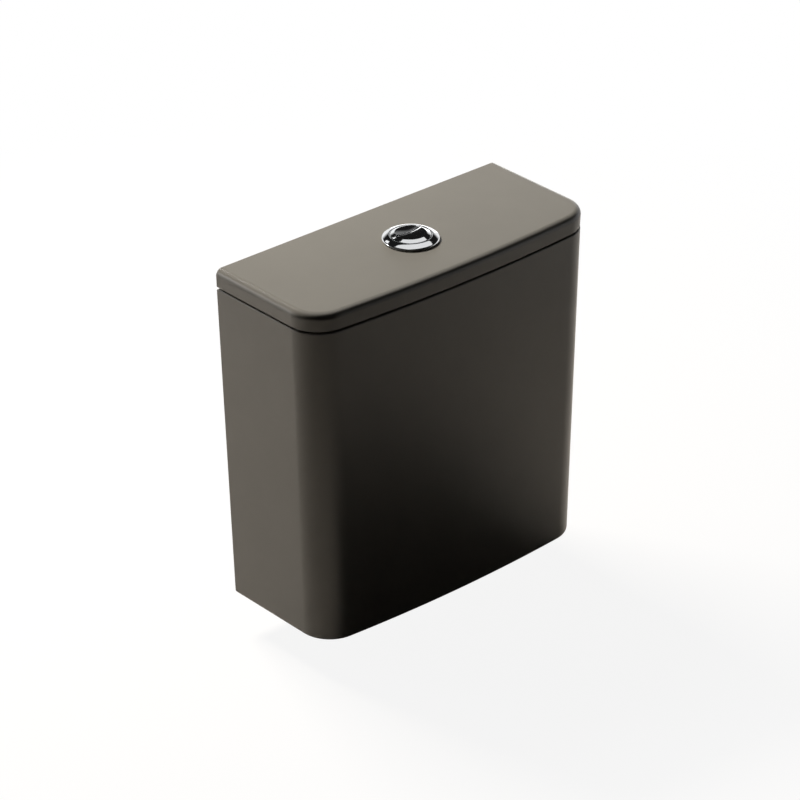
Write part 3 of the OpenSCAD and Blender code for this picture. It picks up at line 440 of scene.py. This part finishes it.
def rubber(name, pale, dark):
    """Rubber with a dusty bloom and a fine matt grain."""
    material, surface, place = shader(name)
    bloom = place.noise(60, 5, 0.6)
    grain = place.noise(2200, 2)
    feed(
        surface,
        Base_Color=(bloom * 1.4 + grain * 0.5 + 0.4).blend(dark, pale),
        Roughness=bloom * 0.2 + 0.72,
        Normal=(grain + bloom).bump(0.15, 0.1 * mm),
    )
    return material


MATERIALS = {
    "clay": ceramic("satin_clay", linear(121, 116, 106), linear(113, 108, 99)),
    "chrome": metal(
        "chrome_plate", (0.86, 0.87, 0.88, 1), (0.78, 0.79, 0.80, 1), rough=0.05, grain=300, lift=0.01
    ),
    "steel": metal(
        "zinc_steel", (0.62, 0.63, 0.64, 1), (0.45, 0.46, 0.47, 1), rough=0.3, grain=900, lift=0.12
    ),
    "brass": metal(
        "turned_brass", (0.72, 0.55, 0.25, 1), (0.55, 0.40, 0.17, 1), rough=0.28, grain=900, lift=0.1
    ),
    "white_plastic": plastic("white_plastic", (0.80, 0.80, 0.77, 1), (0.70, 0.70, 0.66, 1), rough=0.38),
    "grey_plastic": plastic("grey_plastic", (0.30, 0.32, 0.34, 1), (0.23, 0.25, 0.27, 1), rough=0.42),
    "blue_plastic": plastic("blue_plastic", (0.06, 0.18, 0.44, 1), (0.04, 0.13, 0.34, 1), rough=0.4),
    "black_rubber": rubber("black_rubber", (0.030, 0.030, 0.031, 1), (0.012, 0.012, 0.012, 1)),
    "red_rubber": rubber("red_silicone", (0.40, 0.07, 0.045, 1), (0.30, 0.045, 0.03, 1)),
}


# Ceramic

def plan(width, back, inset, z):
    """The tank's plan at one height: flat back, straight sides, round corners and a bowed front."""
    bow_r = (width ** 2 + FRONT_BOW ** 2) / (2 * FRONT_BOW)
    bow_y = bow_r - half_d
    x = width - CORNER_R
    y = bow_y - math.sqrt((bow_r - CORNER_R) ** 2 - x ** 2)
    turn = math.degrees(math.atan2(bow_y - y, x))
    r = CORNER_R - inset
    points = [
        (width - inset, back - inset),
        (inset - width, back - inset),
        *arc(-x, y, r, 180, 180 + turn, CORNER_STEPS),
        *arc(0, bow_y, bow_r - inset, 180 + turn, 360 - turn, BOW_STEPS)[1:-1],
        *arc(x, y, r, 360 - turn, 360, CORNER_STEPS),
    ]
    return [(px, py, z) for px, py in points]


def make_tank():
    tank = begin("ceramic_tank")
    draw(plan(half_w - SIDE_LEAN, half_d - BACK_LEAN, overhang, 0))
    draw(plan(half_w, half_d, overhang, rim_z))
    ops.mesh.select_all(action="SELECT")
    ops.mesh.bridge_edge_loops()
    for z in (0, rim_z):
        pick("EDGE", at_z(z))
        ops.mesh.edge_face_add()
    clean()
    pick("EDGE", at_z(0))
    bevel(FOOT_ROUND, segments=5)
    pick("EDGE", at_z(rim_z))
    bevel(RIM_ROUND, segments=4)

    # The water space, a little narrower at its floor
    pick("FACE", facing(rim_z, 1))
    ops.mesh.inset(thickness=WALL - RIM_ROUND)
    extrude_up(FLOOR_Z - rim_z)
    lean = 1 - FLOOR_Z / rim_z
    front = overhang + WALL - half_d
    inner_w = half_w - overhang - WALL
    inner_d = half_d - overhang - WALL - front
    ops.transform.resize(
        value=(1 - SIDE_LEAN * lean / inner_w, 1 - BACK_LEAN * lean / inner_d, 1),
        center_override=(0, front, FLOOR_Z),
    )
    pick("EDGE", at_z(FLOOR_Z))
    bevel(CAVITY_ROUND, segments=6)
    pick("EDGE", brink(rim_z))
    bevel(RIM_ROUND, segments=4)

    # The hollow under the floor, inside the skirt
    pick("FACE", facing(0, -1))
    ops.mesh.inset(thickness=SKIRT_T - FOOT_ROUND)
    extrude_up(SKIRT_H)
    pick("EDGE", brink(0))
    bevel(RIM_ROUND, segments=3)
    pick("EDGE", at_z(SKIRT_H))
    bevel(RIM_ROUND, segments=3)
    clean()
    object_mode()

    # The holes in the floor
    for r, x, y in (
        (VALVE_HOLE_R, 0, 0),
        (BOLT_HOLE_R, BOLT_X, 0),
        (BOLT_HOLE_R, -BOLT_X, 0),
        (INLET_HOLE_R, INLET_X, INLET_Y),
    ):
        combine(tank, peg(r, SKIRT_H - mm, FLOOR_Z + mm, x, y))
    dress(tank, "clay", "tank", "tank_body")


def make_lid():
    lid = begin("ceramic_lid")
    draw(plan(half_w, half_d, 0, lid_z))
    ops.mesh.select_all(action="SELECT")
    ops.mesh.edge_face_add()
    extrude_up(LID_H)
    clean()
    pick("VERT", lambda v: abs(v.co.z - lid_z) < NEAR)
    ops.transform.resize(
        value=(1 - LID_LEAN / half_w, 1 - LID_LEAN / (2 * half_d), 1), center_override=(0, half_d, lid_z)
    )

    def outline(z):
        """A test for the edges at one height, the back's edge left out."""
        return lambda e: at_z(z)(e) and not all(v.co.y > half_d - NEAR for v in e.verts)

    pick("EDGE", outline(lid_top))
    bevel(LID_ROUND, segments=14)
    pick("EDGE", outline(lid_z))
    bevel(LID_EDGE_ROUND, segments=4)

    # The hollow under the plate, and the edges that are still sharp
    pick("FACE", facing(lid_z, -1))
    ops.mesh.inset(thickness=LID_EDGE_W - LID_EDGE_ROUND)
    extrude_up(lid_under - lid_z)
    pick("EDGE", at_z(lid_under))
    bevel(LID_HOLLOW_ROUND, segments=4)
    sharp = 1.2
    pick("EDGE", lambda e: e.calc_face_angle(0) > sharp)
    bevel(LID_INNER_ROUND, segments=3)
    clean()
    object_mode()

    # The ribs that keep the lid in place
    side = half_w - overhang - WALL - RIB_GAP
    near, far = RIB_FRONT_X
    for s in (-1, 1):
        for (x0, x1), (y0, y1) in (
            (sorted((s * side, s * (side - RIB_T))), (-RIB_SIDE_Y, RIB_SIDE_Y)),
            (sorted((s * near, s * far)), (RIB_FRONT_Y, RIB_FRONT_Y + RIB_T)),
        ):
            rib = block((x0, y0, lid_low[2]), (x1, y1, lid_under + RIB_ROOT), RIB_ROUND)
            combine(lid, rib, "UNION")
    combine(lid, peg(LID_HOLE_R, lid_under - mm, lid_top + mm))
    dress(lid, "clay", "lid", "tank_lid")


make_tank()
make_lid()


# Flush button

BORE_R = 21.1 * mm
LIP_R = 0.9 * mm
BEZEL_WALL = 1.2 * mm
FLANGE_T = 2.1 * mm
FOOT_OUTER = 2.6 * mm
FOOT_INNER = 4.4 * mm
UNDERCUT_IN = 0.5 * mm
UNDERCUT_DOWN = 0.3 * mm

# The edge's round, and the angles in degrees where it begins, where the dome begins and where that ends
BULGE_R = 3 * mm
EDGE_Z = 2.1 * mm
EDGE = 28
SHOULDER = 66
CREST = 81

BUTTON_STEPS = 160


def make_bezel():
    """A ring with a rounded edge that stands clear of the lid, a gently domed face and a rolled bore."""
    low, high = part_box("button_bezel")
    r = high[0]
    top = high[2]
    lid = low[2]
    turn = math.radians(EDGE)
    rim = arc(
        r - BULGE_R * math.cos(turn), lid + EDGE_Z - BULGE_R * math.sin(turn), BULGE_R, EDGE, SHOULDER, 12
    )
    roll = arc(BORE_R + LIP_R, top - LIP_R, LIP_R, CREST, 180, 10)
    inner = BORE_R + 2 * LIP_R
    ring = turned("bezel_ring", [
        (r - FOOT_OUTER, lid),
        (r - UNDERCUT_IN, lid + EDGE_Z - UNDERCUT_DOWN),
        *rim,
        *bow(rim[-1], roll[0], SHOULDER, CREST, 12),
        *roll,
        (BORE_R, lid + FLANGE_T),
        (inner, lid + FLANGE_T),
        (inner, top - 2 * BEZEL_WALL),
        (r - FOOT_INNER, lid + EDGE_Z),
        (r - FOOT_INNER, lid),
    ], steps=BUTTON_STEPS)
    dress(ring, "chrome", "lid", "button_bezel", angle=40)


BUTTON_R = 20.5 * mm
BUTTON_H = 9 * mm
BUTTON_WALL = 1.8 * mm
BUTTON_HOLLOW = 4 * mm
BOSS_R = 5.5 * mm
BOSS_Y = 10 * mm

# The bright slope round the top: distances in from the side and down from the top, in mm
BUTTON_SLOPE = ((0, 2.45), (0.1, 2.1), (0.4, 1.8), (3.5, 0.44), (4.3, 0.13), (5.2, 0))

# The split between the halves lies on a circle. Its edges are scooped in front and leaned back behind
SPLIT_R = 44 * mm
SPLIT_Y = 45.3 * mm
SPLIT_HALF = 0.4 * mm
SPLIT_DEPTH = 3 * mm
SPLIT_ROUND = 0.3 * mm
SPLIT_SHARP = 0.6
SCOOP_R = 5.1 * mm
SCOOP_H = 0.5 * mm
TOP_SKIN = 0.05 * mm
HALF_TILT = 2.2


def make_button(name, node, body, sign):
    """Half of the round button: a flat top, a bright slope round it, a skirt, and the rod's boss."""
    low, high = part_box(node)
    top = high[2]
    bottom = top - BUTTON_H
    slope = [(BUTTON_R - dx * mm, top - dz * mm) for dx, dz in BUTTON_SLOPE]
    profile = [(0, bottom), (BUTTON_R, bottom), *slope, (0, top)]
    half = turned(name, profile, steps=BUTTON_STEPS, closed=False)
    object_mode()
    edge = SPLIT_R + sign * SPLIT_HALF
    tool = peg(edge, bottom - mm, top + mm, y=SPLIT_Y, sides=512)
    combine(half, tool, "DIFFERENCE" if sign > 0 else "INTERSECT")
    edit(half)
    clean()
    if sign > 0:
        scoop_split(half, top)
    else:
        lean_back(top, edge)
    clean()
    pick("FACE", facing(bottom, -1))
    ops.mesh.inset(thickness=BUTTON_WALL)
    extrude_up(BUTTON_HOLLOW)
    clean()
    object_mode()
    boss = peg(BOSS_R, low[2], bottom + BUTTON_HOLLOW + mm, y=-sign * BOSS_Y, sides=48)
    combine(half, boss, "UNION")
    dress(half, "chrome", body, node, angle=28)


def scoop_split(half, top):
    """Cut a shallow scoop along the split of the front half. It ends in edit mode."""
    object_mode()
    ops.mesh.primitive_torus_add(
        major_radius=SPLIT_R, minor_radius=SCOOP_R, major_segments=384, minor_segments=96,
        location=(0, SPLIT_Y, top + SCOOP_R - SCOOP_H),
    )
    combine(half, bpy.context.object)
    edit(half)


def lean_back(top, edge):
    """In edit mode, round the back half's edge along the split and lean its top back from there."""
    def on_split(v):
        return abs(math.hypot(v.co.x, v.co.y - SPLIT_Y) - edge) < NEAR and v.co.z > top - SPLIT_DEPTH

    def sharp_brink(e):
        a, b = e.verts
        level = abs(a.co.z - b.co.z) < mm
        return on_split(a) and on_split(b) and level and e.calc_face_angle(0) > SPLIT_SHARP

    pick("EDGE", sharp_brink)
    bevel(SPLIT_ROUND, segments=3)
    pick("VERT", lambda v: v.co.z > top - TOP_SKIN)
    ops.transform.rotate(
        value=math.radians(HALF_TILT), orient_axis="X", center_override=(0, SPLIT_Y - SPLIT_R, top)
    )


make_bezel()
make_button("full_button_cap", "full_flush_button", "full_button", 1)
make_button("half_button_cap", "half_flush_button", "half_button", -1)


# Springs and threads

WIRE_R = 0.5 * mm
COIL_R = 4.5 * mm
COILS = 8


def make_spring(name, node):
    """A wire ring wound up into a spring with closed ends."""
    low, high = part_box(node)
    y = (low[1] + high[1]) / 2
    length = high[2] - low[2]
    ends = (low[2] + WIRE_R, high[2] - WIRE_R)
    spring = begin(name, y=y)
    ops.mesh.primitive_circle_add(
        vertices=12, radius=WIRE_R, location=(COIL_R, y, ends[0]), rotation=(math.pi / 2, 0, 0)
    )
    wind(spring, (length - 2 * WIRE_R) / COILS, COILS, steps=36)
    for z in ends:
        ops.mesh.primitive_torus_add(
            major_radius=COIL_R, minor_radius=WIRE_R, major_segments=48, minor_segments=12,
            location=(0, y, z),
        )
    clean()
    dress(spring, "steel", "lid", node, angle=60)
    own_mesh(spring)


# A thread's ridge: how deep its foot sits in the rod, and the shares of the pitch where its crest begins
# and ends and where its foot ends
RIDGE_SINK = 0.1 * mm
CREST_START = 0.36
CREST_END = 0.5
RIDGE_END = 0.86


def add_thread(obj, x, y, core, r, pitch, low, high, steps):
    """Wind a thread's ridge round a rod and join it to the rod's object."""
    ridge = begin("ridge", x, y)
    foot = core - RIDGE_SINK
    section = ((foot, 0), (r, CREST_START), (r, CREST_END), (foot, RIDGE_END))
    draw([(x + radius, y, low + share * pitch) for radius, share in section])
    wind(ridge, pitch, int((high - low) / pitch) - 1, steps)
    clean()
    join(obj, ridge)


BOLT_R = 4 * mm
BOLT_CORE = 3.4 * mm
BOLT_NECK = 3.8 * mm
BOLT_PITCH = 1.25 * mm
BOLT_THREAD_TOP = 18.6 * mm
BOLT_TIP = 0.6 * mm
BOLT_STEP = 0.4 * mm
BOLT_HEX = 13 * mm
HEAD_H = 5.5 * mm
HEAD_OVERLAP = 0.5 * mm
HEAD_CHAMFER_H = 0.9 * mm
HEAD_CHAMFER_IN = 0.3 * mm
DOME_GAP = 0.1 * mm


def make_bolts():
    """Two coupling bolts with chamfered hexagon heads and wound threads."""
    low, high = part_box("coupling_bolts")
    x = -BOLT_X
    foot = low[2]
    top = high[2]
    seat = top - HEAD_H
    bolt = turned("threaded_bolts", [
        (0, foot),
        (BOLT_CORE - BOLT_TIP, foot),
        (BOLT_CORE, foot + BOLT_TIP),
        (BOLT_CORE, BOLT_THREAD_TOP),
        (BOLT_NECK, BOLT_THREAD_TOP + BOLT_STEP),
        (BOLT_NECK, seat + HEAD_OVERLAP),
        (0, seat + HEAD_OVERLAP),
    ], x=x, steps=40, closed=False)
    object_mode()
    corner = BOLT_HEX / 2 / math.cos(math.pi / 6)
    ops.mesh.primitive_cylinder_add(
        vertices=6, radius=corner, depth=HEAD_H, location=(x, 0, seat + HEAD_H / 2),
        rotation=(0, 0, math.pi / 6),
    )
    head = bpy.context.object
    dome = turned("head_dome", [
        (0, seat - mm),
        (corner + DOME_GAP, seat - mm),
        (corner + DOME_GAP, top - HEAD_CHAMFER_H),
        (BOLT_HEX / 2 - HEAD_CHAMFER_IN, top),
        (0, top),
    ], x=x, steps=64, closed=False)
    combine(head, dome, "INTERSECT")
    join(bolt, head)
    add_thread(bolt, x, 0, BOLT_CORE, BOLT_R, BOLT_PITCH, foot + BOLT_TIP, BOLT_THREAD_TOP, steps=28)
    edit(bolt)
    ops.mesh.select_all(action="SELECT")
    ops.mesh.duplicate_move(TRANSFORM_OT_translate={"value": (2 * BOLT_X, 0, 0)})
    dress(bolt, "steel", "tank", "coupling_bolts", angle=35)


INLET_R = 10.47 * mm
INLET_CORE = 9.5 * mm
INLET_NECK = 10.18 * mm
INLET_BORE = 6 * mm
INLET_PITCH = 1.814 * mm
INLET_THREAD_TOP = 17.7 * mm
INLET_FLANGE = (44 * mm, 49 * mm)
INLET_FLANGE_R = 19 * mm
INLET_EDGE = 0.5 * mm
SHANK_R = 11 * mm
SHANK_FILLET = 3 * mm


def make_shank():
    """The fill valve's foot: a threaded inlet, a flange over the tank's floor and a tube, with one bore."""
    low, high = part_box("inlet_shank")
    foot = low[2]
    top = high[2]
    under, over = INLET_FLANGE
    shank = turned("threaded_inlet", [
        (INLET_BORE, foot),
        (INLET_CORE - INLET_EDGE, foot),
        (INLET_CORE, foot + INLET_EDGE),
        (INLET_CORE, INLET_THREAD_TOP),
        (INLET_NECK, INLET_THREAD_TOP + INLET_EDGE),
        (INLET_NECK, under),
        (INLET_FLANGE_R - INLET_EDGE, under),
        (INLET_FLANGE_R, under + INLET_EDGE),
        (INLET_FLANGE_R, over - INLET_EDGE),
        (INLET_FLANGE_R - INLET_EDGE, over),
        *arc(SHANK_R + SHANK_FILLET, over + SHANK_FILLET, SHANK_FILLET, 270, 180, 6),
        (SHANK_R, top - INLET_EDGE),
        (SHANK_R - INLET_EDGE, top),
        (INLET_BORE, top),
    ], x=INLET_X, y=INLET_Y, steps=64)
    add_thread(
        shank, INLET_X, INLET_Y, INLET_CORE, INLET_R, INLET_PITCH,
        foot + INLET_EDGE, INLET_THREAD_TOP, steps=48,
    )
    dress(shank, "white_plastic", "tank", "inlet_shank", angle=35)


make_spring("full_spring_coil", "full_return_spring")
make_spring("half_spring_coil", "half_return_spring")
make_bolts()
make_shank()


# Fittings inside and under the tank

EASE = 0.35 * mm
EASE_FROM = 40
FLAT = 1


def ease(node, slot, body):
    """A copy of a CAD node with its sharp edges eased, as moulds and cutters leave them."""
    only(frame["nodes"][node])
    ops.object.duplicate()
    piece = bpy.context.object
    piece.name = node + "_eased"
    piece.data.name = piece.name
    # The copy is no CAD node, so it drops what marks one
    for key in list(piece.keys()):
        del piece[key]
    edit(piece)
    clean()
    ops.mesh.dissolve_limited(angle_limit=math.radians(FLAT))
    sharp = math.radians(EASE_FROM)
    modify(piece, "BEVEL", width=EASE, segments=2, limit_method="ANGLE", angle_limit=sharp)
    dress(piece, slot, body, node, angle=35)


bodies = frame["record"]["behaviour"]["bodies"]
node_body = {node: body for body, nodes in bodies.items() for node in nodes}
for row in frame["record"]["subparts"]:
    node = frame["nodes"][row["node"]]
    node.data.materials.clear()
    node.data.materials.append(MATERIALS[row["material_slot"]])
    if not node.hide_render:
        ease(row["node"], row["material_slot"], node_body[row["node"]])


# Floor, surroundings and light

FLOOR = -38.5 * mm
FLOOR_R = 40

# Distances from the middle: where the shadow fades to white, and where reflections begin to show the floor
SHADOW_FADE = (0.3, 1.2)
SHADOW_DEPTH = 0.1
MIRROR_FADE = (0.7, 1.9)
FLOOR_REACH = 1

# The heights, as directions, between which the wall fades out, and the light that is left elsewhere
WALL_FADE = (0.26, 0.42)
WALL_REACH = 0.5
DIM = 0.01

# The level direction from the camera past the object
AHEAD = (0.665, 0.747, 0)


def light_path(value, name):
    return value.node("ShaderNodeLightPath", {}, name)


def mirror_ray(value):
    """1 on rays that a shiny or clear surface sends on."""
    return light_path(value, "Is Glossy Ray") + light_path(value, "Is Transmission Ray")


def behind(place, reach):
    """1 behind the object and beside it, seen from the camera, and 0 on the camera's side."""
    depth = place.node("ShaderNodeVectorMath", {0: place, 1: AHEAD}, "Value", operation="DOT_PRODUCT")
    return depth.ramp(-reach, -reach / 5)


def make_floor():
    """A pale floor, white to the eye but for the object's shadow. Further off it is white in reflections."""
    ops.mesh.primitive_circle_add(vertices=64, radius=FLOOR_R, fill_type="NGON", location=(0, 0, FLOOR))
    floor = bpy.context.object
    floor.name = "floor"
    material, surface, place = shader("pale_floor")
    tree = material.node_tree
    away = place.node("ShaderNodeVectorMath", {0: place}, "Value", operation="LENGTH")
    seen = away.ramp(*SHADOW_FADE) * SHADOW_DEPTH + (1 - SHADOW_DEPTH)
    mirrored = away.ramp(*MIRROR_FADE) * behind(place, FLOOR_REACH)
    share = light_path(place, "Is Camera Ray") * seen + mirror_ray(place) * mirrored
    feed(surface, Base_Color=(0.88, 0.80, 0.70, 1), Roughness=0.9, Specular_IOR_Level=0)
    glow = tree.nodes.new("ShaderNodeEmission")
    mix = tree.nodes.new("ShaderNodeMixShader")
    tree.links.new(share.socket, mix.inputs[0])
    tree.links.new(surface.outputs[0], mix.inputs[1])
    tree.links.new(glow.outputs[0], mix.inputs[2])
    tree.links.new(mix.outputs[0], tree.nodes["Material Output"].inputs["Surface"])
    floor.data.materials.append(material)
    floor.visible_diffuse = False


def make_world():
    """White to the eye. In reflections a pale wall stands round the floor and fades out upwards."""
    world = bpy.data.worlds.new("studio")
    bpy.context.scene.world = world
    world.use_nodes = True
    tree = world.node_tree
    back = tree.nodes["Background"]
    place = Value(tree, tree.nodes.new("ShaderNodeTexCoord").outputs["Generated"])
    height = place.node("ShaderNodeSeparateXYZ", {0: place}, "Z")
    wall = (1 - height.ramp(*WALL_FADE)) * behind(place, WALL_REACH)
    strength = (light_path(place, "Is Camera Ray") + mirror_ray(place) * wall) * (1 - DIM) + DIM
    tree.links.new(strength.socket, back.inputs["Strength"])
    back.inputs["Color"].default_value = (1, 1, 1, 1)


def area(name, at, aim, width, height, watts, lights=True, mirrored=True):
    """A soft box that faces a point. It may light matt surfaces, show in shiny ones, or both."""
    ops.object.light_add(type="AREA", location=at)
    lamp = bpy.context.object
    lamp.name = name
    lamp.data.shape = "RECTANGLE"
    lamp.data.size = width
    lamp.data.size_y = height
    lamp.data.energy = watts
    lamp.visible_diffuse = lights
    lamp.visible_glossy = mirrored
    lamp.rotation_euler = (Vector(aim) - Vector(at)).to_track_quat("-Z", "Y").to_euler()


def make_camera(aim, back, distance, lens, shift):
    """The photo's view: from the left, in front and above, through a long lens."""
    back = Vector(back).normalized()
    ops.object.camera_add(location=Vector(aim) + back * distance)
    camera = bpy.context.object
    camera.rotation_euler = back.to_track_quat("Z", "Y").to_euler()
    camera.data.lens = lens
    camera.data.sensor_width = 36
    camera.data.shift_x, camera.data.shift_y = shift
    bpy.context.scene.camera = camera


make_floor()
make_world()
area("back_box", (-0.12, 1.38, 1.72), aim=(0, 0, 0.3), width=0.8, height=0.45, watts=76, mirrored=False)
area("back_card", (0, 1.45, 1.5), aim=(0, 0, 0.37), width=0.4, height=0.3, watts=0.4, lights=False)
area("left_box", (-1.4, 1.8, 0.8), aim=(0, 0, 0.2), width=0.6, height=0.7, watts=8.2)
area("right_box", (1.5, 1.5, 0.5), aim=(0, 0, 0.2), width=0.9, height=0.7, watts=3)
area("top_card", (0.35, 0.12, 1.8), aim=(0.35, 0.12, 0), width=2.1, height=1.25, watts=7, lights=False)
make_camera(
    aim=(0, -1.45 * mm, 0.190), back=(-0.5828, -0.6543, 0.4818), distance=3.92156, lens=174.55,
    shift=(-0.0146, 0.0004),
)
bpy.context.scene.view_settings.view_transform = "Standard"
